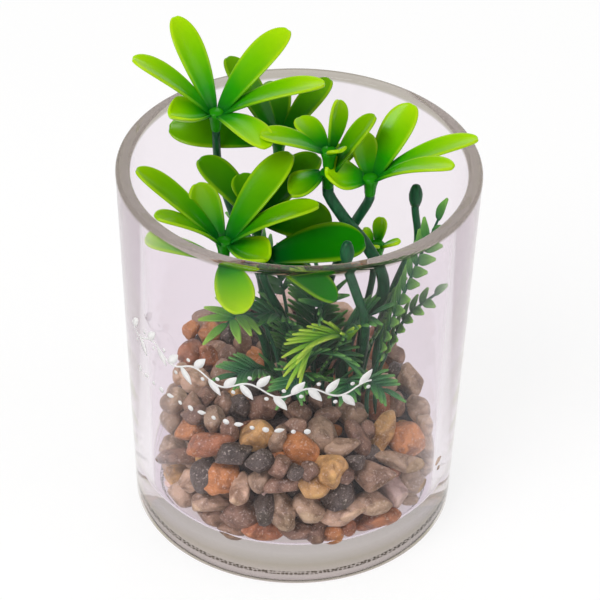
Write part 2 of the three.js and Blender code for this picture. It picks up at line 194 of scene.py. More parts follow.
level_right = Vector((1, 0, 0))
level_up = Vector((0, math.sin(ELEVATION), math.cos(ELEVATION)))
towards_camera = Vector((0, -math.cos(ELEVATION), math.sin(ELEVATION)))
camera_right = math.cos(ROLL) * level_right + math.sin(ROLL) * level_up
camera_up = math.cos(ROLL) * level_up - math.sin(ROLL) * level_right
camera_axes = Matrix((camera_right, camera_up, towards_camera)).transposed().to_4x4()

camera_data = bpy.data.cameras.new("camera")
camera_data.sensor_width = 36
camera_data.lens = 151.2
camera_data.clip_start = 0.01
camera = bpy.data.objects.new("camera", camera_data)
camera.matrix_world = Matrix.Translation(AIM + DISTANCE * towards_camera) @ camera_axes
bpy.context.scene.collection.objects.link(camera)
bpy.context.scene.camera = camera
bpy.context.scene.view_settings.view_transform = "Standard"
# Light runs down the wall of the glass by many reflections, so the paths have to be long.
bpy.context.scene.cycles.max_bounces = 40
bpy.context.scene.cycles.glossy_bounces = 36
bpy.context.scene.cycles.transmission_bounces = 36
print("camera at", [round(v, 3) for v in camera.location])


# %% Soft boxes
LAMP_AIM = Vector((0, 0, 0.06))


def soft_box(name, place, size, power):
    data = bpy.data.lights.new(name, "AREA")
    data.shape = "SQUARE"
    data.size = size
    data.energy = power
    lamp = bpy.data.objects.new(name, data)
    lamp.location = place
    lamp.rotation_euler = (Vector(place) - LAMP_AIM).to_track_quat("Z", "Y").to_euler()
    lamp.visible_transmission = False  # no bare lamp shows inside the glass
    bpy.context.scene.collection.objects.link(lamp)


soft_box("key_light", (-0.45, -0.5, 0.85), 0.5, 6.5)
soft_box("fill_light", (0.75, -0.25, 0.55), 0.6, 1.6)
soft_box("back_light", (0.1, 0.8, 0.6), 0.6, 1.5)


# %% Sky and floor
FLOOR_HALF, FLOOR_DROP = 3.0, 0.2 * MM  # the floor lies just under the glass, so no faces coincide


def plain_view(tree, rays):
    direct = calc(tree, "MAXIMUM", rays["Is Camera Ray"], rays["Is Glossy Ray"])
    return calc(tree, "MAXIMUM", direct, rays["Is Transmission Ray"])


sky = bpy.data.worlds.new("sky")
sky.use_nodes = True
tree = sky.node_tree
tree.nodes.clear()
rays = add(tree, "ShaderNodeLightPath").outputs
direction = add(tree, "ShaderNodeTexCoord").outputs["Generated"]
ahead = add(tree, "ShaderNodeVectorMath", {0: direction, 1: (0, 0.8, -0.6)}, operation="DOT_PRODUCT")
studio = ramp(tree, ahead.outputs["Value"], (0.3, "3a3938"), (0.9, "ffffff"))
reflected = calc(tree, "SUBTRACT", rays["Is Glossy Ray"], rays["Is Transmission Ray"], use_clamp=True)
seen = mix(tree, reflected, (1, 1, 1, 1), studio)
shown = add(tree, "ShaderNodeBackground", {"Color": seen, "Strength": 1.0})
lit = add(tree, "ShaderNodeBackground", {"Color": linear("fbfaf7"), "Strength": 0.38})
both = mix_shaders(tree, plain_view(tree, rays), lit, shown)
add(tree, "ShaderNodeOutputWorld", {"Surface": both.outputs[0]})
bpy.context.scene.world = sky

paper, tree = finish_named("white_paper_ground")
rays = add(tree, "ShaderNodeLightPath").outputs
glow = add(tree, "ShaderNodeEmission", {"Color": (1, 1, 1, 1), "Strength": 0.8})
faint = add(tree, "ShaderNodeBsdfDiffuse", {"Color": (0.22, 0.22, 0.22, 1)})
white = add(tree, "ShaderNodeAddShader", {0: glow.outputs[0], 1: faint.outputs[0]})
matt = add(tree, "ShaderNodeBsdfDiffuse", {"Color": linear("f1f0ee")})
ground = mix_shaders(tree, plain_view(tree, rays), matt, white)
add(tree, "ShaderNodeOutputMaterial", {"Surface": ground.outputs[0]})

bm = bmesh.new()
bmesh.ops.create_grid(bm, x_segments=4, y_segments=4, size=FLOOR_HALF,
                      matrix=Matrix.Translation((0, 0, -FLOOR_DROP)))
floor_mesh = bpy.data.meshes.new("floor")
bm.to_mesh(floor_mesh)
bm.free()
floor_mesh.materials.append(paper)
floor = bpy.data.objects.new("floor", floor_mesh)
bpy.context.scene.collection.objects.link(floor)
print("floor", len(floor_mesh.polygons), "faces")

# %% [markdown]
# ## The tumbler
# A pressed tumbler is a solid of revolution: a thick floor, a wall that opens a little towards the
# mouth, a flat rim with polished edges, and a rounded heel with a shallow push-up under it. Half of
# its section is drawn as a line with sharp corners, the corners are rounded with a vertex bevel, and
# one spin turns the line into the glass. That is how the mould itself is turned, and it keeps the
# wall's thickness true for the refraction.

# %% Glass finish
# Soda-lime glass, pressed and fire-polished. Manganese takes the green out of cheap glass and leaves a
# faint lilac through the wall. At the rim and the heel, where light comes from along the wall, the
# glass looks grey-olive; that darker grey-olive is painted shade in the glass colour. The index of
# such glass is 1.5, but the picture bends and mirrors very little through this wall, so it is matched
# with a lower one.
# A knurled ring under the foot, with a pitch of about 1 mm, looks like a row of dark dots. It isn't
# shown in reflections inside the wall, which would repeat it as streaks.
GLASS_H, MOUTH_R, FOOT_R, WALL, FLOOR_T = 90, 40, 37.2, 3.2, 9.5
HEEL_R, RIM_R, INNER_R, BEARING, PUSH_UP = 1.0, 0.9, 2.0, 3.0, 1.2
GLASS_STEPS, EDGE_STEPS = 384, 8
KNURL_R, KNURL_HALF, KNURL_TOP, KNURL_PITCH = 32.0, 0.6, 1.5, 0.9

soda_glass, tree = finish_named("soda_lime_glass")
spot = place_on(tree)
axes = add(tree, "ShaderNodeSeparateXYZ", {0: spot}).outputs
from_axis = add(tree, "ShaderNodeVectorMath", {0: spot, 1: (1, 1, 0)}, operation="MULTIPLY")
radius = add(tree, "ShaderNodeVectorMath", {0: from_axis.outputs[0]}, operation="LENGTH")
on_ring = calc(tree, "COMPARE", radius.outputs["Value"], KNURL_R * MM, KNURL_HALF * MM)
under_foot = calc(tree, "LESS_THAN", axes["Z"], KNURL_TOP * MM)
knurl = add(tree, "ShaderNodeTexVoronoi", {"Vector": spot, "Scale": per_mm(KNURL_PITCH), "Randomness": 0.4})
dots = spread(tree, knurl.outputs["Distance"], 0.35, 0.5, 0.9, 0.15)
rays = add(tree, "ShaderNodeLightPath").outputs
unmirrored = calc(tree, "LESS_THAN", rays["Glossy Depth"], 0.5)
ring_dots = product(tree, on_ring, under_foot, unmirrored, dots)
height = spread(tree, axes["Z"], 0.0, GLASS_H * MM)
# The lilac is the glass's own tint; the grey-olive stops at the heel and the rim are painted shade.
lilac_and_painted_edge_shade = ramp(tree, height, (0.0, "d6c8d6"), (0.015, "bcb4a4"), (0.07, "bab49c"), (0.11, "f4eef3"),
                  (0.984, "f4eef3"), (0.99, "958f7e"))
clear = add(tree, "ShaderNodeBsdfPrincipled", {
    "Base Color": lilac_and_painted_edge_shade, "Roughness": 0.0, "IOR": 1.2, "Transmission Weight": 1.0})
frosted = add(tree, "ShaderNodeBsdfDiffuse", {"Color": linear("5a5046")})
knurled = mix_shaders(tree, ring_dots, clear, frosted)
through = add(tree, "ShaderNodeBsdfTransparent", {"Color": linear("f2eff2")})
mixed = mix_shaders(tree, rays["Is Shadow Ray"], knurled, through)
depth_tint = add(tree, "ShaderNodeVolumeAbsorption", {"Color": linear("d2cec6"), "Density": 4.0})
add(tree, "ShaderNodeOutputMaterial", {"Surface": mixed.outputs[0], "Volume": depth_tint.outputs[0]})
print("glass nodes", len(tree.nodes))


# %% Glass shape
def outer_radius(height):
    return FOOT_R + (MOUTH_R - FOOT_R) * height / GLASS_H


bearing_outer = outer_radius(HEEL_R) - HEEL_R
bearing_inner = bearing_outer - BEARING
# Radius, height and rounding of each corner. The push-up is almost flat until it nears the bearing ring.
section = [
    (0, PUSH_UP, 0), (bearing_inner * 0.8, PUSH_UP * 0.9, 0), (bearing_inner, 0, 0),
    (FOOT_R, 0, HEEL_R), (MOUTH_R, GLASS_H, RIM_R), (MOUTH_R - WALL, GLASS_H, RIM_R),
    (outer_radius(FLOOR_T) - WALL, FLOOR_T, INNER_R), (0, FLOOR_T, 0),
]
bm = bmesh.new()
corners = [bm.verts.new((r * MM, 0, h * MM)) for r, h, rounding in section]
for first, second in zip(corners, corners[1:]):
    bm.edges.new((first, second))
for corner, (r, h, rounding) in zip(corners, section):
    if rounding:
        bmesh.ops.bevel(bm, geom=[corner], offset=rounding * MM, offset_type="OFFSET",
                        segments=EDGE_STEPS, profile=0.5, affect="VERTICES", material=-1)
bmesh.ops.spin(bm, geom=bm.verts[:] + bm.edges[:], cent=(0, 0, 0), axis=(0, 0, 1), angle=2 * math.pi,
               steps=GLASS_STEPS, use_merge=True)
bmesh.ops.remove_doubles(bm, verts=bm.verts, dist=MERGE)
bmesh.ops.recalc_face_normals(bm, faces=bm.faces)
print("glass volume, cm3", round(bm.calc_volume(signed=True) * 1e6, 1))
piece("tumbler", bm, soda_glass, "pot", ["glass_tumbler"])

# %% [markdown]
# ## The gravel
# River pebbles of 5 to 10 mm: worn pieces of quartz, sandstone, slate and jasper, so they are rounded
# but still show the flats where they once broke. Each pebble starts as an icosphere. A few planes cut
# flats into it, a little noise makes it uneven, and a smoothing pass wears the edges round. The
# pebbles that the photograph shows have their own places and kinds of rock, and the rest lie in rings
# round a dark core, as the solid has them. The core is painted shade: it shows dark in the gaps
# between the stones.

# %% Pebble and grit finishes
# Tumbled stone, bonded with a thin clear resin: dull, with specks of about 0.5 mm, cloudy patches of
# about 3 mm and a pitted grain of about 0.45 mm, and a slight sheen from the resin. Each stone's own
# colour comes from the attribute "tint". The core between the stones is a dark brown painted shade
# for the gaps, with crumbs of about 1.8 mm.
pebble_stone, tree = finish_named("tumbled_river_stone")
spot = place_on(tree)
patches = grain(tree, spot, 3.0, 3.0, 0.8)
shade = ramp(tree, patches, (0.32, "9a8b7c"), (0.6, "ffffff"))
cloudy = mix(tree, 0.9, attribute(tree, "tint", "Color"), shade, blend_type="MULTIPLY")
specks = spread(tree, grain(tree, spot, 0.5, 1.0), 0.6, 0.72, 0.0, 0.4)
specked = mix(tree, specks, cloudy, linear("e9dccd"))
pits = bump(tree, grain(tree, spot, 0.45, 4.0), 0.6, 0.3)
sheen = spread(tree, patches, 0.0, 1.0, 0.3, 0.6)
coat(tree, specked, sheen, Normal=pits)

# Painted shade: a dark brown core that fills the gaps between the pebbles.
painted_gap_shade_core, tree = finish_named("dark_core_painted_gap_shade")
crumbs = add(tree, "ShaderNodeTexVoronoi", {"Vector": place_on(tree), "Scale": per_mm(1.8)})
between = crumbs.outputs["Distance"]
gap_shade_colour = ramp(tree, between, (0.1, "5c493d"), (0.6, "2a211c"))
coat(tree, gap_shade_colour, 0.8, Normal=bump(tree, between, 0.8, 0.6))
print("gravel finishes", pebble_stone.name, painted_gap_shade_core.name)

# %% Core of the gravel
GRAVEL_X, GRAVEL_Y, GRAVEL_Z = 1.0, -1.2, 9.8
GRAVEL_R, GRAVEL_H, GRAVEL_TILT, GRAVEL_CROWN, STONE = 32.2, 22.0, 5.0, 3.0, 8.8
CORE_LIFT, CORE_SINK, CORE_INSET = 1.2, STONE * 0.42, STONE * 0.5


def gravel_surface(x, y):
    reach = min(1, math.hypot(x, y) / GRAVEL_R)
    return GRAVEL_H + GRAVEL_CROWN * (1 - reach * reach) - GRAVEL_TILT * x / GRAVEL_R


# The core is painted shade, dark in the gaps between the pebbles.
bm = bmesh.new()
bmesh.ops.create_circle(bm, cap_ends=True, cap_tris=True, segments=48, radius=GRAVEL_R - CORE_INSET)
bmesh.ops.subdivide_edges(bm, edges=bm.edges, cuts=3, use_grid_fill=True)
bmesh.ops.translate(bm, verts=bm.verts, vec=(0, 0, CORE_LIFT))
raised = bmesh.ops.extrude_face_region(bm, geom=bm.faces[:], use_keep_orig=True)["geom"]
for vert in [g for g in raised if isinstance(g, bmesh.types.BMVert)]:
    vert.co.z = gravel_surface(vert.co.x, vert.co.y) - CORE_SINK
bmesh.ops.recalc_face_normals(bm, faces=bm.faces)
bmesh.ops.scale(bm, verts=bm.verts, vec=(MM, MM, MM))
bmesh.ops.translate(bm, verts=bm.verts, vec=Vector((GRAVEL_X, GRAVEL_Y, GRAVEL_Z)) * MM)
print("core volume, cm3", round(bm.calc_volume(signed=True) * 1e6, 1))
piece("gravel_core", bm, painted_gap_shade_core, "insert")

# %% Pebbles in the photograph
# Place, half length, half width and turn in the plane that faces the camera, and kind of rock.
seen_pebbles = [
    (-25.4, 8.9, 35.5, 2.0, 2.0, 0, "jasper"), (-21.1, 8.1, 35.3, 2.8, 2.4, -10, "jasper"),
    (-16.4, 7, 35.5, 1.8, 2.8, 0, "slate"), (-12.9, 5.2, 35.2, 2.0, 3.8, 0, "shale"),
    (-24.7, 0.4, 35.3, 2.8, 3.1, 0, "ironstone"), (-21, -1, 35.4, 2.6, 2.6, 0, "ironstone"),
    (-26.9, -6.1, 35.8, 1.8, 2.4, 0, "quartz"), (-22.5, -8.1, 35.2, 3.8, 2.8, -10, "quartz"),
    (-16.8, -6.6, 35.3, 2.4, 3.6, 5, "granite"), (-16.2, 0.6, 35.5, 2.0, 2.0, 0, "shale"),
    (-26.7, -14.6, 35.1, 2.6, 2.4, 0, "sandstone"), (-22.8, -15.3, 35.2, 2.0, 2.0, 0, "granite"),
    (-20, -13.8, 35.2, 2.0, 2.0, 0, "shale"), (-15.9, -14.8, 34.9, 2.0, 2.6, 0, "granite"),
    (-12.2, -16.1, 34.4, 2.6, 2.4, 0, "slate"), (-9.4, -10, 34.8, 2.0, 2.4, 0, "slate"),
    (-7, -15.2, 33.8, 3.4, 2.8, 0, "shale"), (-2.5, -12.9, 33.8, 2.0, 2.0, 0, "shale"),
    (0.9, -15.3, 33, 2.8, 2.4, 0, "granite"), (0.3, -20, 32.8, 2.8, 2.0, 0, "granite"),
    (-27.6, -12.6, 27.6, 2.4, 3.1, 0, "sandstone"), (-22, -19, 34.8, 2.6, 2.0, 0, "shale"),
    (-17.7, -20.5, 34.4, 2.4, 2.8, 0, "sandstone"), (-23.1, -19.9, 31.4, 2.8, 2.8, 0, "jasper"),
    (-18.6, -24.9, 31.7, 5.2, 2.4, 15, "ironstone"), (-14, -23, 34, 2.0, 2.4, 0, "shale"),
    (-8.6, -24.2, 32.8, 3.8, 3.1, 25, "ochre"), (-3.2, -24.9, 32.7, 2.0, 2.8, 0, "sandstone"),
    (1.5, -25.9, 31.3, 3.8, 3.1, -20, "jasper"), (-12.9, -28.5, 31.9, 3.8, 2.6, 15, "slate"),
    (-25.6, -17, 20.6, 3.6, 2.0, 0, "shale"), (-27.4, -13.5, 21.2, 2.6, 2.0, 0, "sandstone"),
    (-26.7, -14.6, 13.9, 2.4, 2.4, 0, "ochre"), (-18.9, -24.1, 22.1, 3.1, 3.8, 0, "slate"),
    (-15.2, -26.4, 22.4, 4.1, 3.6, 50, "jasper"), (-11.3, -29.4, 22.8, 2.4, 3.4, -20, "quartz"),
    (-6.8, -30.8, 26.5, 2.6, 2.6, 0, "sandstone"), (-7.3, -30.8, 31.8, 2.8, 2.4, 0, "slate"),
    (-2.8, -31.7, 30.9, 2.4, 2.4, 0, "shale"), (0.5, -32.3, 30.6, 1.8, 1.8, 0, "slate"),
    (-2.1, -32.1, 26, 4.1, 1.8, 5, "shale"), (3.4, -32, 30.2, 2.0, 2.0, 0, "shale"),
    (4.4, -31.8, 25.9, 3.1, 2.4, 0, "ochre"), (-5.6, -31.3, 18.6, 2.4, 3.8, 0, "slate"),
    (-2, -31.5, 18.3, 2.8, 4.1, 20, "sandstone"), (3.8, -31.2, 18.5, 3.6, 3.4, 0, "sandstone"),
    (-24, -18.9, 11.4, 3.1, 2.6, -20, "quartz"), (-23, -20.5, 16.5, 2.6, 2.4, 0, "quartz"),
    (-18, -25.4, 14.9, 4.4, 2.4, 0, "quartz"), (-11.5, -28.3, 13.4, 4.1, 3.8, 0, "shale"),
    (-5.7, -31.4, 12.1, 4.6, 2.0, 0, "ironstone"), (1.7, -32.1, 12.4, 4.1, 2.0, 0, "shale"),
    (-17.5, -26.2, 11.3, 3.1, 1.8, -20, "granite"), (-12.8, -29.2, 9.9, 3.1, 1.6, -15, "granite"),
    (-26.7, -16.1, 11.2, 2.0, 1.2, -20, "marble"), (10.7, -23.9, 30.4, 3.6, 2.0, 10, "sandstone"),
    (8.1, -30.2, 29.3, 3.4, 3.6, 20, "ochre"), (6, -20.6, 31.1, 3.4, 3.8, 0, "sandstone"),
    (6.3, -11.4, 32.2, 2.8, 2.6, 0, "granite"), (13, -12.1, 30.7, 3.4, 2.8, -15, "sandstone"),
    (7.9, -15.5, 32.2, 2.8, 1.6, 10, "granite"), (14.5, -20.3, 29.9, 2.4, 3.8, 35, "shale"),
    (16.4, -17.7, 30.1, 1.6, 2.0, 0, "shale"), (18.3, -7.4, 29.3, 3.4, 3.8, -10, "ironstone"),
    (21.6, -0.5, 28.8, 2.8, 2.8, 0, "quartz"), (20, -17.1, 28.8, 2.4, 4.6, -25, "ochre"),
    (25.1, -16.1, 26.9, 3.4, 3.6, 30, "jasper"), (23.7, -22.2, 25.3, 4.9, 2.0, -8, "sandstone"),
    (17.4, -26.7, 24.8, 4.6, 3.1, -5, "granite"), (13.6, -27.5, 29.5, 2.4, 1.6, 0, "slate"),
    (11.7, -30.2, 27.7, 2.0, 2.0, 0, "shale"), (10, -30.1, 21.9, 3.4, 3.1, 0, "slate"),
    (11.1, -30.1, 16.9, 4.6, 2.6, 10, "quartz"), (17.2, -27.2, 17.5, 4.1, 2.6, -5, "quartz"),
    (22.5, -22.8, 16.8, 2.8, 3.6, 15, "marble"), (18.5, -26.5, 12.1, 4.9, 2.4, 12, "ironstone"),
    (26, -18.7, 16.9, 2.8, 3.6, -10, "sandstone"), (12.3, -30.2, 12.1, 1.8, 2.0, 0, "ironstone"),
    (8.7, -31.2, 11.4, 2.4, 2.0, 0, "jasper"), (5.5, -31.6, 12.6, 2.4, 2.6, 0, "shale"),
    (23.7, 10.6, 28.1, 2.8, 2.4, 0, "granite"), (24.5, 4.9, 28.5, 2.4, 1.8, 0, "slate"),
    (28.1, 3.1, 26.8, 3.1, 3.6, 10, "sandstone"), (28.6, -6.1, 26.7, 2.8, 2.8, 0, "quartz"),
    (30, -10.9, 26.6, 1.8, 2.4, 0, "quartz"), (23.9, -6.4, 28.7, 1.8, 2.6, 0, "granite"),
    (29.6, -12.2, 21.1, 2.6, 3.6, 0, "quartz"), (29.6, -13.1, 16.1, 2.0, 2.6, 0, "quartz"),
    (26.1, -19.8, 12.4, 1.6, 1.6, 0, "sandstone"),
]
print("pebbles placed from the photograph", len(seen_pebbles))


# %% Cut, wear and place the pebbles
# The flats and the wear shrink a stone, and REGAIN brings it back to its size.
FLATS, FLAT_NEAR, FLAT_RANGE, UNEVEN, UNEVEN_SCALE, WEAR, REGAIN = 12, 0.6, 0.24, 0.04, 2.2, 0.4, 1.24
SEEN_DETAIL, RING_DETAIL = 4, 3


def pebble(bm, tint, seed, matrix, colour, detail):
    made = bmesh.ops.create_icosphere(bm, subdivisions=detail, radius=1.0)["verts"]
    cuts = []
    for k in range(FLATS):
        way = Vector([chance(seed + 0.31 * k + 0.07 * axis) - 0.5 for axis in range(3)]).normalized()
        cuts.append((way, FLAT_NEAR + FLAT_RANGE * chance(seed + 0.17 * k)))
    for vert in made:
        way = vert.co.normalized()
        reach = 1.0
        for flat, depth in cuts:
            reach = min(reach, depth / max(way.dot(flat), 0.001))
        vert.co = way * (reach + UNEVEN * noise.noise(way * UNEVEN_SCALE + Vector((seed, 0, 0))))
        vert[tint] = colour
    bmesh.ops.smooth_vert(bm, verts=made, factor=WEAR, use_axis_x=True, use_axis_y=True, use_axis_z=True)
    bmesh.ops.scale(bm, verts=made, vec=(REGAIN, REGAIN, REGAIN))
    bmesh.ops.transform(bm, matrix=matrix, verts=made)


# The common kinds of rock in river gravel. Each stone is a little lighter or darker than its kind.
rocks = {
    "sandstone": "b69d81", "slate": "5d544b", "quartz": "cdaf92", "jasper": "ca8850", "shale": "8d6f5a",
    "ironstone": "ae7350", "marble": "e2c7ba", "granite": "a6886f", "ochre": "d8ac6c",
}
rock_names = sorted(rocks)


def rock_colour(rock, seed):
    shade = 0.84 + 0.32 * chance(seed + 0.45)
    return [min(1, shade * part) for part in linear(rocks[rock])[:3]] + [1]


facing = Matrix((level_right, level_up, towards_camera)).transposed().to_4x4()
bm = bmesh.new()
tint = bm.verts.layers.float_color.new("tint")
taken = []
for i, (x, y, z, long, broad, turn, rock) in enumerate(seen_pebbles):
    deep = 0.9 * min(long, broad) + 0.12 * max(long, broad)
    matrix = (Matrix.Translation(Vector((x, y, z)) * MM) @ facing
              @ Matrix.Rotation(math.radians(turn), 4, "Z")
              @ Matrix.Diagonal((long * MM, broad * MM, deep * MM, 1)))
    pebble(bm, tint, i + 0.5, matrix, rock_colour(rock, i), SEEN_DETAIL)
    taken.append((Vector((x, y, z)), (long + broad) / 2))

# Stones lie this far below the top and inside the edge. A side stone that would break through the top is
# left out, and so is one whose middle is nearer to another than NEAREST of their two mean radii.
TOP_SINK, TOP_LIMIT, SIDE_INSET = STONE * 0.375, STONE * 0.35, STONE * 0.425
NEAREST, MEAN_RADIUS = 0.8, 0.85
FILLER, FILLER_SINK, FILLER_INSET, FILLER_ROWS, FILLER_RINGS = STONE * 0.66, STONE * 0.5, 1.8, 5, 7


def lay_ring(bm, radius, turn, height, first, stone=STONE, pitch=STONE * 1.35):
    count = max(1, round(2 * math.pi * radius / pitch))
    for i in range(count):
        n = first + i
        angle = turn + 2 * math.pi * (i + 0.3 * chance(n + 0.6)) / count
        reach = radius - 0.9 * chance(n + 0.7)
        x, y = reach * math.cos(angle), reach * math.sin(angle)
        z = height(x, y) - 0.7 * chance(n + 0.8)
        if z > gravel_surface(x, y) - TOP_LIMIT:
            continue
        long = stone / 2 * (0.9 + 0.22 * chance(n + 0.1))
        place = Vector((x + GRAVEL_X, y + GRAVEL_Y, max(z, stone * 0.51) + GRAVEL_Z))
        if any((place - other).length < NEAREST * (long * MEAN_RADIUS + size) for other, size in taken):
            continue
        matrix = (Matrix.Translation(place * MM) @ Matrix.Rotation(2 * math.pi * chance(n + 0.5), 4, "Z")
                  @ Matrix.Rotation(2 * math.pi * chance(n + 0.4), 4, "X")
                  @ Matrix.Diagonal((long * MM, long * (0.8 + 0.16 * chance(n + 0.2)) * MM,
                                     long * (0.68 + 0.2 * chance(n + 0.3)) * MM, 1)))
        rock = rock_names[int(chance(n + 0.9) * len(rock_names))]
        pebble(bm, tint, 100.5 + n, matrix, rock_colour(rock, n), RING_DETAIL)
        taken.append((place, long * MEAN_RADIUS))
    return first + count


side = GRAVEL_R - SIDE_INSET
rows = round((GRAVEL_H - STONE) / (STONE * 0.8))
n = 1
for row in range(rows):
    rise = STONE / 2 + row * (GRAVEL_H - STONE - GRAVEL_TILT) / (rows - 1)
    n = lay_ring(bm, side, row * 0.13, lambda x, y, rise=rise: rise, n)
rings = round(side / (STONE * 0.9))
for k in range(rings + 1):
    n = lay_ring(bm, side * k / rings, k * 0.4, lambda x, y: gravel_surface(x, y) - TOP_SINK, n)
# Smaller pebbles, set deeper, fill the gaps that the rings leave in the side and in the top.
for row in range(FILLER_ROWS):
    rise = FILLER / 2 + row * (GRAVEL_H - FILLER) / (FILLER_ROWS - 1)
    n = lay_ring(bm, side - FILLER_INSET, row * 0.37, lambda x, y, rise=rise: rise, n, FILLER, FILLER)
for k in range(FILLER_RINGS):
    n = lay_ring(bm, side * k / (FILLER_RINGS - 0.5), k * 0.3,
                 lambda x, y: gravel_surface(x, y) - FILLER_SINK, n, FILLER, FILLER)
print("pebbles in all", len(taken))
piece("pebbles", bm, pebble_stone, "insert", ["bonded_gravel"])

# %% [markdown]
# ## Plastic finishes
# The plant is injection-moulded polyethylene, coloured in the mass and then sprayed: roots and hubs
# stay dark blue-green, and the leaves pass through grass green to lime. Their yellow-green edges are a
# painted rim light. Soft polyethylene lets a little light in, so leaves glow slightly, and its skin
# is satin. Three attributes follow each leaf: "along" runs from root to tip, "across" runs from edge
# to edge, and the third says how much spray the leaf got. The third also paints shade: rosettes in
# the shade of others get a small value and so the darker colour, as painted shade.

# %% Leaf finish
leaf_plastic, tree = finish_named("polyethylene_leaf_with_painted_shade_and_rim_light")
spot = place_on(tree)
along, across, spray_and_painted_shade = [attribute(tree, name) for name in ("along", "across", "spray_and_painted_shade")]
drift = grain(tree, spot, 7.0, 2.0)
spray = calc(tree, "MULTIPLY_ADD", drift, 0.22, along)
fade = calc(tree, "SUBTRACT", spray, 0.11)
sprayed = ramp(tree, fade, (0.04, "0a6c14"), (0.26, "2c9c04"), (0.56, "74c200"), (1.0, "aee004"))
# The darker ramp is the colour of leaves without spray, and it is also painted shade for rosettes in the
# shade of others.
unsprayed_and_painted_shade = ramp(tree, fade, (0.04, "024016"), (0.3, "045a04"), (0.95, "147a00"))
body_colour = mix(tree, spray_and_painted_shade, unsprayed_and_painted_shade, sprayed)
# Painted rim light: a yellow-green band along the leaf edges, fading in from near the root and stronger on
# leaves with more spray.
from_middle = calc(tree, "ABSOLUTE", across)
rim_light_mask = spread(tree, from_middle, 0.72, 1.0, 0.0, 0.5, interpolation_type="SMOOTHSTEP")
rim_light_reach = spread(tree, along, 0.12, 0.5)
rim_light_spray = spread(tree, spray_and_painted_shade, 0.0, 1.0, 0.45, 1.0)
edge = product(tree, rim_light_mask, rim_light_reach, rim_light_spray)
with_painted_rim_light = mix(tree, edge, body_colour, linear("bedc1c"))
satin = spread(tree, drift, 0.0, 1.0, 0.16, 0.26)
skin_bump = bump(tree, grain(tree, spot, 0.8, 3.0), 0.12, 0.15)
coat(tree, with_painted_rim_light, satin, Specular_IOR_Level=0.16, Subsurface_Weight=0.15, Subsurface_Radius=(1.0, 1.0, 0.3),
     Subsurface_Scale=1.2 * MM, Normal=skin_bump)
print("leaf finish", len(tree.nodes), "nodes")

# %% Stem and fern finishes
# The same polyethylene without spray: stems are dark blue-green with faint drawn lines of about
# 0.6 mm, and ferns are dark green with paler tips. The plain fern colour is lifted lighter and bluer
# than the plastic, as a painted haze of the light that the glass reflects in front of the ferns.
stem_plastic, tree = finish_named("dark_polyethylene_stem")
stretched = add(tree, "ShaderNodeMapping", {"Vector": place_on(tree), "Scale": (1, 1, 0.15)})
lines = grain(tree, stretched.outputs[0], 0.6, 2.0)
stem_colour = ramp(tree, lines, (0.3, "0e4228"), (0.7, "1c6038"))
coat(tree, stem_colour, 0.4, Specular_IOR_Level=0.3, Normal=bump(tree, lines, 0.3, 0.2))

fern_plastic, tree = finish_named("polyethylene_fern")
along, spray_and_painted_shade = [attribute(tree, name) for name in ("along", "spray_and_painted_shade")]
# Painted haze: the plain fern colour is lighter and bluer than the plastic.
plain_fern_with_painted_haze = ramp(tree, along, (0.05, "265a3e"), (0.6, "3f7e48"), (1.0, "6aa650"))
bright_fern = ramp(tree, along, (0.02, "3a8430"), (0.4, "7cba28"), (1.0, "badf4c"))
fern_colour = mix(tree, spray_and_painted_shade, plain_fern_with_painted_haze, bright_fern)
mottle = grain(tree, place_on(tree), 2.0, 2.0)
shade = spread(tree, mottle, 0.0, 1.0, 0.75, 1.15)
mottled = add(tree, "ShaderNodeVectorMath", {0: fern_colour, "Scale": shade}, operation="SCALE")
coat(tree, mottled.outputs[0], 0.45, Specular_IOR_Level=0.3, Normal=bump(tree, mottle, 0.2, 0.2))
print("plant finishes", leaf_plastic.name, stem_plastic.name, fern_plastic.name)

# %% [markdown]
# ## Leaf rosettes
# Each rosette is one moulding: a flared hub with spoon-shaped leaves, narrow at the root and round at
# the tip, arched along and cupped across, under 1 mm thick with round edges. Some leaves curl up into
# a scoop. A leaf starts as a flat grid. Each point is moved to the leaf's outline, arch and cup,
# solidify gives the thickness, and subdivision rounds the edges.

# %% Leaf shape
LEAF_T, LEAF_CUP, LEAF_ROOT, LEAF_STEPS = 0.8, 0.22, 1.2, 9
WIDEST, TIP = 0.68, 0.325  # where a leaf is widest, and the length of its round tip, as shares


def heading(turn, rise):
    flat = math.cos(math.radians(rise))
    turn = math.radians(turn)
    return Vector((flat * math.cos(turn), flat * math.sin(turn), math.sin(math.radians(rise))))


def spoon(share):
    if share < WIDEST:
        return 0.3 + 0.7 * math.sin(math.pi / 2 * share / WIDEST)
    return math.sqrt(1 - ((share - WIDEST) / TIP) ** 2)


def lance(share):
    return max(0.12, math.sin(math.pi * (0.08 + 0.9 * share) ** 0.8))


def marks_of(bm):
    return [bm.verts.layers.float.new(name) for name in ("along", "across", "spray_and_painted_shade")]


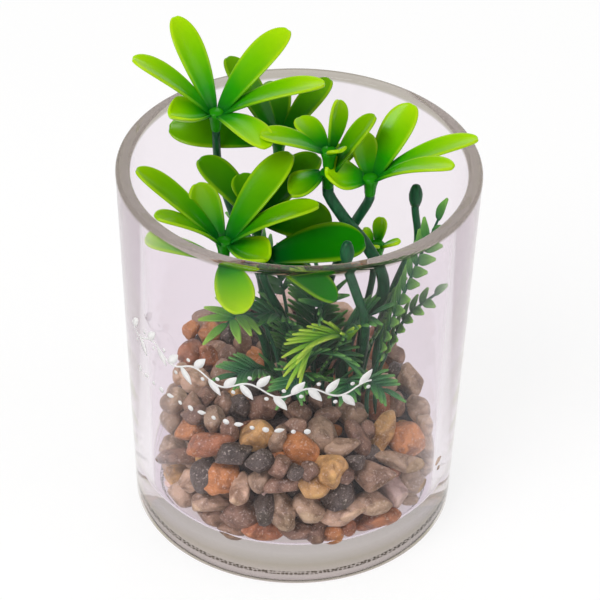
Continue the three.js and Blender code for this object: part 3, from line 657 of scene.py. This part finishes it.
def blade(bm, marks, matrix, length, width, thickness, bend, cup, shape, steps, spray_and_painted_shade):
    flat = bmesh.ops.create_grid(bm, x_segments=steps, y_segments=4, size=0.5)["verts"]
    half = math.radians(bend)
    bow = length / (2 * math.sin(half))
    for vert in flat:
        share = 1 - (0.5 - vert.co.x) ** 1.4  # the points crowd towards the tip
        across = 2 * vert.co.y
        vert[marks[0]], vert[marks[1]], vert[marks[2]] = share, across, spray_and_painted_shade
        reach = width / 2 * shape(share)
        slope = half * (1 - 2 * share)
        lift = cup * reach * across * across + thickness / 2
        vert.co = Vector((
            bow * (math.sin(half) - math.sin(slope)) - lift * math.sin(slope),
            across * reach,
            bow * (math.cos(slope) - math.cos(half)) + lift * math.cos(slope)))
    faces = list({face for vert in flat for face in vert.link_faces})
    bmesh.ops.recalc_face_normals(bm, faces=faces)
    if sum(face.normal.z for face in faces) < 0:
        bmesh.ops.reverse_faces(bm, faces=faces)
    shell = bmesh.ops.solidify(bm, geom=faces, thickness=thickness)["geom"]
    solid = set(flat) | {g for g in shell if isinstance(g, bmesh.types.BMVert)}
    bmesh.ops.transform(bm, matrix=Matrix.Scale(MM, 4) @ matrix, verts=list(solid))


def aimed(forward, up, root, roll=0):
    side = up.cross(forward).normalized()
    above = forward.cross(side)
    axes = Matrix((forward, side, above)).transposed().to_4x4()
    return Matrix.Translation(root) @ axes @ Matrix.Rotation(math.radians(roll), 4, "X")


print("leaf half width at the root and tip", spoon(0), round(spoon(1), 2))

# %% Hubs and leaves
# The hub's profile flares smoothly from the stem to the leaves.
HUB_SLEEVE, HUB_CAP, HUB_STEPS, HUB_ALONG = 4.0, 1.2, 10, 0.2
STACK = HUB_SLEEVE + HUB_CAP + 0.3
UP = Vector((0, 0, 1))
hub_profile = [(0, -4.4), (1.3, -4.4), (1.35, -2.8), (1.55, -1.4), (2.1, 0), (1.8, 0.7), (1.0, 1.0),
               (0, 1.1)]


def turned(bm, profile, at, steps):
    verts = [bm.verts.new((at + Vector((r, 0, h))) * MM) for r, h in profile]
    wires = [bm.edges.new(pair) for pair in zip(verts, verts[1:])]
    bmesh.ops.spin(bm, geom=verts + wires, cent=at * MM, axis=(0, 0, 1), angle=2 * math.pi, steps=steps,
                   use_merge=True)
    bmesh.ops.remove_doubles(bm, verts=bm.verts, dist=MERGE)


def rosette(name, leaves, spray_and_painted_shade):
    bm = bmesh.new()
    marks = marks_of(bm)
    at = Vector(tops[name])
    turned(bm, hub_profile, at, HUB_STEPS)
    for vert in bm.verts:
        vert[marks[0]], vert[marks[2]] = HUB_ALONG, spray_and_painted_shade
    for turn, rise, length, width, bend, *more in leaves:
        roll, cup = more or (0, LEAF_CUP)
        matrix = aimed(heading(turn, rise), UP, at + LEAF_ROOT * heading(turn, 0), roll)
        blade(bm, marks, matrix, length - LEAF_ROOT, width, LEAF_T, bend, cup, spoon, LEAF_STEPS, spray_and_painted_shade)
    bmesh.ops.recalc_face_normals(bm, faces=bm.faces)
    piece("leaves_" + name, bm, leaf_plastic, "insert", ["whorl_" + name], 2)


tops = {
    "left": (-18.4, 7, 98), "front": (-16, -11, 76.5), "back": (-4.7, 13, 87.5), "middle": (-9, -2.5, 77),
    "right": (15.5, -3, 88.5), "centre": (6.3, -3, 95.3), "low": (-7.5, -12.5, 73.5),
    "cluster": (17.8, 3.6, 66), "bud_right": (25.7, 1, 82), "bud_centre": (10.6, -19.5, 81),
    "front_lower": (-16, -11, 76.5 - STACK), "centre_lower": (6.3, -3, 95.3 - STACK),
}
# Leaves: turn, rise, length, width, bend, and for some roll and cup. The last number is the spray, and
# it also paints shade: rosettes in the shade of others get a small one and so a darker colour.
rosettes = {
    "left": ([(0, 20, 25, 7.3, 14), (38, 38, 24.5, 8.5, 10), (125, 46, 23.5, 6.8, 8),
              (178, 38, 22.5, 7.6, 12), (196, 6, 10.5, 9.5, -22, 0, 0.6), (312, 0, 17.5, 7.6, 18)], 1.0),
    "front": ([(0, 28, 23, 7, 16), (40, 42, 24.5, 8.8, 10), (130, 50, 14.5, 8, -12),
               (170, 42, 25.5, 7.8, 10), (210, 38, 20.5, 7.4, 14), (332, -4, 11, 9.5, -28, 0, 0.6)], 0.6),
    "front_lower": ([(164, 4, 20.05, 7, 8), (284, -4, 17, 8.5, 14)], 0.9),
    "right": ([(5, 24, 25, 6.5, 14), (48, 47, 19, 8, 10), (110, 55, 11, 6, 4),
               (192, 18, 10.5, 8.5, -28, -22, 0.5), (336, 26, 21, 6.5, 18)], 1.0),
    "centre": ([(73, 60, 12, 6, 5, 65, 0.22), (130, 20, 11, 6, 10), (180, 16, 15.5, 7, 14),
                (300, 40, 6, 4.5, 10)], 0.8),
    "centre_lower": ([(200, -28, 9.5, 8.5, -20, 0, 0.5), (60, 15, 9, 6, 10), (18, 55, 17, 6.5, 10)], 0.5),
    "back": ([(35, 42, 18, 7, 10), (140, 46, 22, 7.5, 10), (180, 6, 24.5, 8, 12, -40, 0.22),
              (95, 15, 18, 7, 16)], 0.35),
    "middle": ([(152, 38, 18.5, 9.2, 12), (32, 38, 19.5, 10, 12), (120, 45, 11, 7, 10),
                (352, 2, 16.5, 9.5, 14, 35, 0.22)], 0.2),
    "low": ([(5, 9, 22.5, 10.5, 18, 20, 0.22), (325, -9, 19.5, 7.5, 14)], 0.0),
    "cluster": ([(80, 55, 7, 3.2, 8), (160, 60, 5.5, 3.2, 8), (250, 40, 6, 3.2, 8),
                 (330, 35, 6.5, 3.2, 8)], 0.9),
}
for name, (leaves, spray_and_painted_shade) in rosettes.items():
    rosette(name, leaves, spray_and_painted_shade)

# %% [markdown]
# ## Stems
# A stem is a bent rod: a ring is extruded step by step along a smooth path through the stem's bends,
# and turned at each step so that it stays square to the path. Most stems end under a rosette's hub,
# and two end in a bare bud.

# %% Smooth paths and swept rods
GRAVEL_TOP, FOOT_LEVEL = 34.8, 22.8
CURVE_STEPS = 24


def smooth_path(points, count):
    """Evenly spaced points on a centripetal Catmull-Rom curve."""
    ends = [2 * points[0] - points[1], *points, 2 * points[-1] - points[-2]]
    fine = []
    for a, b, c, d in zip(ends, ends[1:], ends[2:], ends[3:]):
        ta, tb, tc = (b - a).length ** 0.5, (c - b).length ** 0.5, (d - c).length ** 0.5
        leave = ((b - a) / ta - (c - a) / (ta + tb) + (c - b) / tb) * tb
        arrive = ((c - b) / tb - (d - b) / (tb + tc) + (d - c) / tc) * tb
        for k in range(CURVE_STEPS):
            t = k / CURVE_STEPS
            fine.append(b * (2 * t ** 3 - 3 * t * t + 1) + leave * (t ** 3 - 2 * t * t + t)
                        + c * (3 * t * t - 2 * t ** 3) + arrive * (t ** 3 - t * t))
    fine.append(points[-1])
    reach = [0.0]
    for a, b in zip(fine, fine[1:]):
        reach.append(reach[-1] + (b - a).length)
    even, k = [], 0
    for i in range(count + 1):
        want = reach[-1] * i / count
        while k < len(fine) - 2 and reach[k + 1] < want:
            k += 1
        even.append(fine[k].lerp(fine[k + 1], (want - reach[k]) / (reach[k + 1] - reach[k])))
    return even


def rod(bm, path, radius, sides, end_share=1.0):
    way = (path[1] - path[0]).normalized()
    start = Matrix.Translation(path[0] * MM) @ UP.rotation_difference(way).to_matrix().to_4x4()
    ring = bmesh.ops.create_circle(bm, cap_ends=True, segments=sides, radius=radius * MM,
                                   matrix=start)["verts"]
    edges = list({edge for vert in ring for edge in vert.link_edges})
    count = len(path) - 1
    for k in range(1, count + 1):
        ahead = (path[min(k + 1, count)] - path[k - 1]).normalized()
        grown = bmesh.ops.extrude_edge_only(bm, edges=edges)["geom"]
        ring = [g for g in grown if isinstance(g, bmesh.types.BMVert)]
        new = set(ring)
        edges = [g for g in grown if isinstance(g, bmesh.types.BMEdge) and set(g.verts) <= new]
        shrink = (1 + (end_share - 1) * k / count) / (1 + (end_share - 1) * (k - 1) / count)
        step = (Matrix.Translation(path[k] * MM) @ way.rotation_difference(ahead).to_matrix().to_4x4()
                @ Matrix.Scale(shrink, 4) @ Matrix.Translation(-path[k - 1] * MM))
        bmesh.ops.transform(bm, matrix=step, verts=ring)
        way = ahead
    bmesh.ops.edgeloop_fill(bm, edges=edges)


print("path test", [round(v, 2) for v in smooth_path([Vector((0, 0, z)) for z in (0, 1, 3)], 4)[2]])

# %% Stems and buds
# A foot stands straight in the gravel. A stem's end runs straight too, and a little way into its hub or bud.
BUD_H, BUD_STEPS = 5.5, 14
STEM_STEPS, STEM_SIDES, STRAIGHT_END, INTO_HUB = 40, 12, 1.5, 0.5
bud_profile = [(0, -2.75), (1.1, -2.75), (1.45, -1.5), (1.55, 0), (1.3, 1.3), (0.9, 2.2), (0, 2.75)]


def foot_points(foot):
    return [Vector((*foot, level)) for level in (FOOT_LEVEL, GRAVEL_TOP - 3, GRAVEL_TOP + 2)]


def stem(name, foot, bends, hubs, radius, taper=1.0):
    top = Vector(tops[name])
    drop = (hubs - 1) * STACK + HUB_SLEEVE if hubs else BUD_H / 2
    end = top.z - (drop - INTO_HUB)
    points = foot_points(foot)
    points += [Vector((x, y, GRAVEL_TOP + (end - GRAVEL_TOP) * share)) for x, y, share in bends]
    points += [Vector((top.x, top.y, end - STRAIGHT_END)), Vector((top.x, top.y, end))]
    bm = bmesh.new()
    rod(bm, smooth_path(points, STEM_STEPS), radius, STEM_SIDES, taper)
    if not hubs:
        turned(bm, bud_profile, top, BUD_STEPS)
    bmesh.ops.recalc_face_normals(bm, faces=bm.faces)
    piece("stalk_" + name, bm, stem_plastic, "insert", ["stem_" + name])


# Foot in the gravel, bends as x, y and share of the height, rosettes on the peg, radius and taper.
stems = {
    "left": ((-4, 5), [(-10, 8, 0.35), (-17.5, 9.5, 0.75)], 1, 0.9),
    "front": ((-6, -6), [(-8, -5, 0.35), (-15, -9.5, 0.7)], 2, 0.95),
    "back": ((1, 8), [(0, 10, 0.4), (-4, 13, 0.75)], 1, 0.9),
    "middle": ((-5.5, -1), [(-7, -1.5, 0.4), (-8.8, -2.5, 0.75)], 1, 0.95),
    "right": ((5, 4), [(7, 2.8, 0.35), (9.5, 0.8, 0.6), (12.2, -1.2, 0.8)], 1, 1.1),
    "centre": ((11, -3.5), [(14, -4, 0.3), (19, -5.8, 0.44), (19.4, -6.6, 0.56), (15, -6, 0.745),
                            (10.4, -4.6, 0.85)], 2, 1.6, 0.8),
    "low": ((-1, -6), [(-2, -6, 0.4), (-6, -9.5, 0.75)], 1, 0.95),
    "cluster": ((15, 2), [(16, 3, 0.4), (17.6, 3.5, 0.75)], 1, 0.8),
    "bud_right": ((19, 1), [(22, 1.5, 0.4), (26.6, 1, 0.75)], 0, 0.85),
    "bud_centre": ((14.2, -8.5), [(15.4, -10.5, 0.3), (15, -15, 0.56), (12.6, -18.5, 0.8)], 0, 1.1),
}
for name, form in stems.items():
    stem(name, *form)

# %% [markdown]
# ## Ferns, sprig and twig
# A frond is a thin rib with leaflets in pairs and one at its tip. The leaflets are small lance-shaped
# blades made as the leaves are, broader on the sprig and the twig. On the left fern the pairs close up
# towards the tip, so that it spreads like a hand. The bright fern was sprayed like the leaves, so its
# leaflets are yellow-green. Dark fronds without spray fill the middle between the stems.

# %% Fronds
GLASS_SPAN = GLASS_H - GRAVEL_TOP
RIB_R, RIB_STEPS, RIB_SIDES, RIB_TAPER = 0.6, 60, 8, 0.5
LEAFLET_T, LEAFLET_BEND, LEAFLET_CUP, LEAFLET_STEPS = 0.5, 9, 0.3, 5
LAST_PAIR, TIP_PLACE, STAGGER = 0.97, 0.985, 0.4


def frond(node, foot, route, pairs, start, length, width, angle, taper, fan, spray_and_painted_shade):
    points = foot_points(foot)
    points += [Vector((x, y, GRAVEL_TOP + GLASS_SPAN * share)) for x, y, share in route]
    path = smooth_path(points, RIB_STEPS)
    bm = bmesh.new()
    marks = marks_of(bm)
    rod(bm, path, RIB_R, RIB_SIDES, RIB_TAPER)
    pitch = (LAST_PAIR - start) / pairs
    shares = []
    for i in range(pairs):
        shares += [(start + i * pitch, 1), (start + (i + STAGGER) * pitch, -1)]
    for share, side in shares + [(TIP_PLACE, 0)]:
        k = min(RIB_STEPS - 1, int(share * RIB_STEPS))
        way = (path[k + 1] - path[max(0, k - 1)]).normalized()
        across = UP.cross(way).normalized()
        above = way.cross(across)
        onward = (share - start) / (1 - start)
        spread = math.radians(angle) * side * (1 - fan * onward)
        aim = (way * math.cos(spread) + across * math.sin(spread)).normalized()
        size = length * (1 - taper * onward)
        blade(bm, marks, aimed(aim, above, path[k]), size, width, LEAFLET_T, LEAFLET_BEND, LEAFLET_CUP,
              lance, LEAFLET_STEPS, spray_and_painted_shade)
    bmesh.ops.recalc_face_normals(bm, faces=bm.faces)
    piece("frond_" + node, bm, fern_plastic, "insert", [node], 1)


# Foot, way of the rib, pairs, start, length, width, angle, taper, fan and spray.
fronds = {
    "fern_left": ((-3, -12), [(-4, -13, 0.2), (-7.5, -14.5, 0.4), (-12.5, -16.5, 0.47), (-15.5, -19.5, 0.46)],
                  3, 0.91, 8, 2.1, 95, 0.1, 0.85, 0.45),
    "fern_bright": ((8.5, -6.5),
                    [(10.5, -9, 0.16), (10.5, -13.5, 0.33), (4.5, -17.5, 0.36), (1.5, -20, 0.29)],
                    12, 0.62, 9.5, 1.0, 20, 0.2, 0.0, 1.0),
    "fern_low": ((9, -11.5), [(11, -13.5, 0.08), (12, -17.5, 0.16), (11, -22, 0.17)],
                 10, 0.5, 7.5, 1.3, 35, 0.3, 0.0, 0.0),
    "fern_right": ((16, -5), [(18, -6, 0.22), (21, -6.2, 0.38), (23.5, -6.6, 0.48)],
                   9, 0.5, 5.5, 1.6, 42, 0.3, 0.0, 0.1),
    "fern_centre": ((4, -2), [(4.5, -3.5, 0.2), (3.8, -5.5, 0.38), (2.5, -8, 0.52)],
                    15, 0.36, 9, 1.6, 52, 0.2, 0.0, 0.0),
    "fern_shade": ((0.5, -11), [(1.5, -12.5, 0.14), (4.5, -13.5, 0.24), (9, -14, 0.25), (12.5, -14, 0.2)],
                   12, 0.45, 8.5, 1.2, 24, 0.2, 0.0, 0.0),
    "fern_back": ((-2, 11), [(-4, 14, 0.2), (-9, 18, 0.36), (-14, 22, 0.42)],
                  8, 0.5, 8, 2.0, 50, 0.4, 0.0, 0.1),
    "sprig_right": ((16.5, -13), [(18.5, -13.4, 0.2), (22, -13.6, 0.46), (26, -13, 0.68), (30.5, -10.5, 0.9)],
                    10, 0.42, 6.8, 2.6, 50, 0.2, 0.0, 0.2),
    "fern_dark_left": ((0.5, -3), [(0, -7, 0.22), (-4, -10, 0.38), (-10, -11.5, 0.4)],
                       15, 0.38, 9, 1.5, 46, 0.2, 0.0, 0.0),
    "fern_dark_right": ((6.5, -9), [(9, -10, 0.2), (13, -11, 0.36), (17.5, -11.5, 0.42)],
                        15, 0.38, 9, 1.5, 46, 0.2, 0.0, 0.0),
    "fern_dark_middle": ((4.5, -6.5), [(5, -9.5, 0.25), (6, -10, 0.45), (4.5, -11, 0.6)],
                         17, 0.34, 10, 1.5, 54, 0.2, 0.0, 0.0),
    "fern_low_left": ((-3.4, -8.8), [(-5.2, -10.8, 0.07), (-8.5, -13.5, 0.15), (-13.5, -16, 0.16)],
                      14, 0.42, 8, 1.4, 45, 0.2, 0.0, 0.0),
    "fern_low_middle": ((3.4, -9.8), [(3.2, -12.5, 0.09), (1.5, -16, 0.17), (-1, -20, 0.15)],
                        14, 0.42, 8, 1.4, 45, 0.2, 0.0, 0.0),
    "fern_low_right": ((12.9, -12.5), [(14.2, -14, 0.08), (16.5, -16.5, 0.15), (20, -18.5, 0.14)],
                       14, 0.42, 7, 1.4, 45, 0.2, 0.0, 0.0),
    "twig_right": ((18.5, -10), [(20, -12, 0.2), (24.5, -12.5, 0.42), (31, -12.5, 0.55)],
                   7, 0.5, 5, 2.3, 55, 0.2, 0.0, 0.2),
}
for node, form in fronds.items():
    frond(node, *form)

# %% [markdown]
# ## Enamel ornament
# The front of the glass carries a thin screen print in white enamel. Here it is a plain garland: a wavy
# line with pairs of small leaves and dots, and a finer row of dots and leaves below it. The shapes are
# drawn flat, in millimetres along the wall and up it, wrapped onto the glass, and given the
# thickness of a fired print.

# %% Enamel garland
# Fired glass enamel: opaque white, slightly uneven, with a dull gloss.
VINE_H, VINE_SWING, VINE_WAVE, VINE_MIDDLE, VINE_SPAN, VINE_WIDTH = 57.5, 1.3, 13, -14.5, 63, 0.5
VINE_LEAVES, LEAF_PITCH, LEAF_TURN, DOT_ON, DOT_OFF = 17, 3.7, 52, 2.1, 1.7
ROW_COUNT, ROW_PITCH, ROW_DOT_H, ROW_LEAF_H = 16, 3, 46.6, 46.4
PRINT_GAP, PRINT_T = 0.03, 0.06

white_enamel, tree = finish_named("fired_white_enamel")
wear = grain(tree, place_on(tree), 1.5, 3.0)
coat(tree, ramp(tree, wear, (0.3, "ebe9ea"), (0.6, "f8f7f7")), 0.35)


def print_leaf(bm, s, h, length, width, turn):
    made = bmesh.ops.create_grid(bm, x_segments=6, y_segments=2, size=0.5)["verts"]
    for vert in made:
        vert.co.y *= width * math.sin(math.pi * (0.04 + 0.92 * (vert.co.x + 0.5)) ** 0.85)
        vert.co.x = (vert.co.x + 0.5) * length
    place = Matrix.Translation((s, h, 0)) @ Matrix.Rotation(math.radians(turn), 4, "Z")
    bmesh.ops.transform(bm, matrix=place, verts=made)


def print_dot(bm, s, h, radius):
    bmesh.ops.create_circle(bm, cap_ends=True, cap_tris=True, segments=14, radius=radius,
                            matrix=Matrix.Translation((s, h, 0)))


def vine(s):
    return VINE_H + VINE_SWING * math.sin(2 * math.pi * s / VINE_WAVE)


bm = bmesh.new()
line = bmesh.ops.create_grid(bm, x_segments=160, y_segments=1, size=0.5)["verts"]
for vert in line:
    s = VINE_MIDDLE + VINE_SPAN * vert.co.x
    vert.co = Vector((s, vine(s) + VINE_WIDTH * vert.co.y, 0))
for i in range(VINE_LEAVES):
    s = -45 + LEAF_PITCH * i
    above = i % 2 == 0
    print_leaf(bm, s, vine(s), 4.6, 2.0, LEAF_TURN if above else -LEAF_TURN)
    print_dot(bm, s + DOT_ON, vine(s + DOT_ON) + (-DOT_OFF if above else DOT_OFF), 0.5)
for i in range(ROW_COUNT):
    s = -42 + ROW_PITCH * i
    if i % 3 == 1:
        print_leaf(bm, s - 1.1, ROW_LEAF_H, 2.3, 1.2, 20)
    else:
        print_dot(bm, s, ROW_DOT_H, 0.55 if i % 3 else 0.75)
for vert in bm.verts:
    s, h = vert.co.x, vert.co.y
    r = outer_radius(h) + PRINT_GAP
    vert.co = Vector((r * math.sin(s / r), -r * math.cos(s / r), h)) * MM
bmesh.ops.recalc_face_normals(bm, faces=bm.faces)
inward = [f for f in bm.faces if f.normal.dot(f.calc_center_median() * Vector((1, 1, 0))) < 0]
bmesh.ops.reverse_faces(bm, faces=inward)
bmesh.ops.solidify(bm, geom=bm.faces[:], thickness=-PRINT_T * MM)
piece("enamel_garland", bm, white_enamel, "pot")
